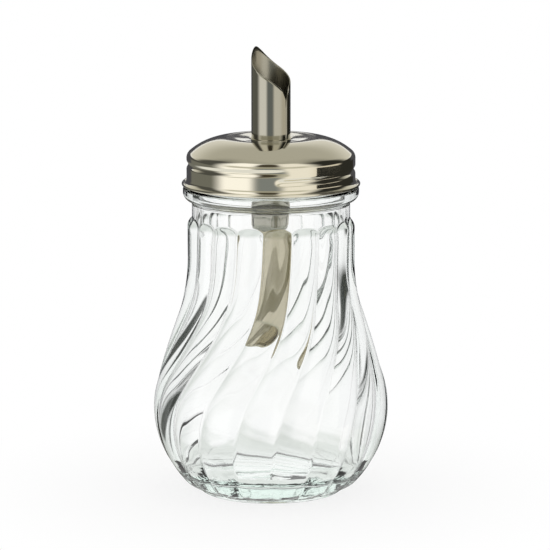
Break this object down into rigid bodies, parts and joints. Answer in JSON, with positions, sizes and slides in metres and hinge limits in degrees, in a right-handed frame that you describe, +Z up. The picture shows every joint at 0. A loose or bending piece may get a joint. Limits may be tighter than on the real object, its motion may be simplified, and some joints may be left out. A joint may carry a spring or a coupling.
{
  "type": "sugar dispenser",
  "caption": "Fluted glass sugar dispenser with a screw-on metal lid, a slanted pouring spout closed by an inner gravity flap, and a dosing tube.",
  "frame": {"origin": "centre of the jar's foot, on the surface it stands on", "axes": "+Z up along the jar and the spout, -Y to the front, +X to the right seen from the front; the spout's low side and its seam are at 42 degrees from +X towards the front"},
  "size_m": [0.0796, 0.0796, 0.1513],
  "materials": {
    "glass": "clear pressed glass with a faint green tint",
    "lid_steel": "satin stainless steel",
    "gasket_seal": "soft pale sealing disc",
    "spout_steel": "polished stainless tube, drawn lengthwise",
    "tube_steel": "plain stainless tube",
    "flap_steel": "plain stainless sheet",
    "pin_steel": "plain stainless wire"
  },
  "bodies": {
    "jar": {"glass_jar": "glass"},
    "gasket": {"lid_gasket": "gasket_seal"},
    "lid": {"lid_shell": "lid_steel", "spout_tube": "spout_steel", "dosing_tube": "tube_steel", "flap_pin": "pin_steel"},
    "flap": {"flap": "flap_steel"}
  },
  "joints": [
    {"name": "lid_lift", "type": "slide", "parent": "jar", "child": "gasket", "axis": [0, 0, 1], "range_m": [0, 0.004]},
    {"name": "lid_turn", "type": "hinge", "parent": "gasket", "child": "lid", "pos_m": [0, 0, 0.1], "axis": [0, 0, 1], "range_deg": [0, 460]},
    {"name": "flap_swing", "type": "hinge", "parent": "lid", "child": "flap", "pos_m": [0.00352, -0.00296, 0.11], "axis": [0.6428, 0.766, 0], "range_deg": [0, 60]}
  ],
  "couplings": [
    {"joint": "lid_turn", "follows": "lid_lift", "rad_per_m": 1963.5}
  ]
}
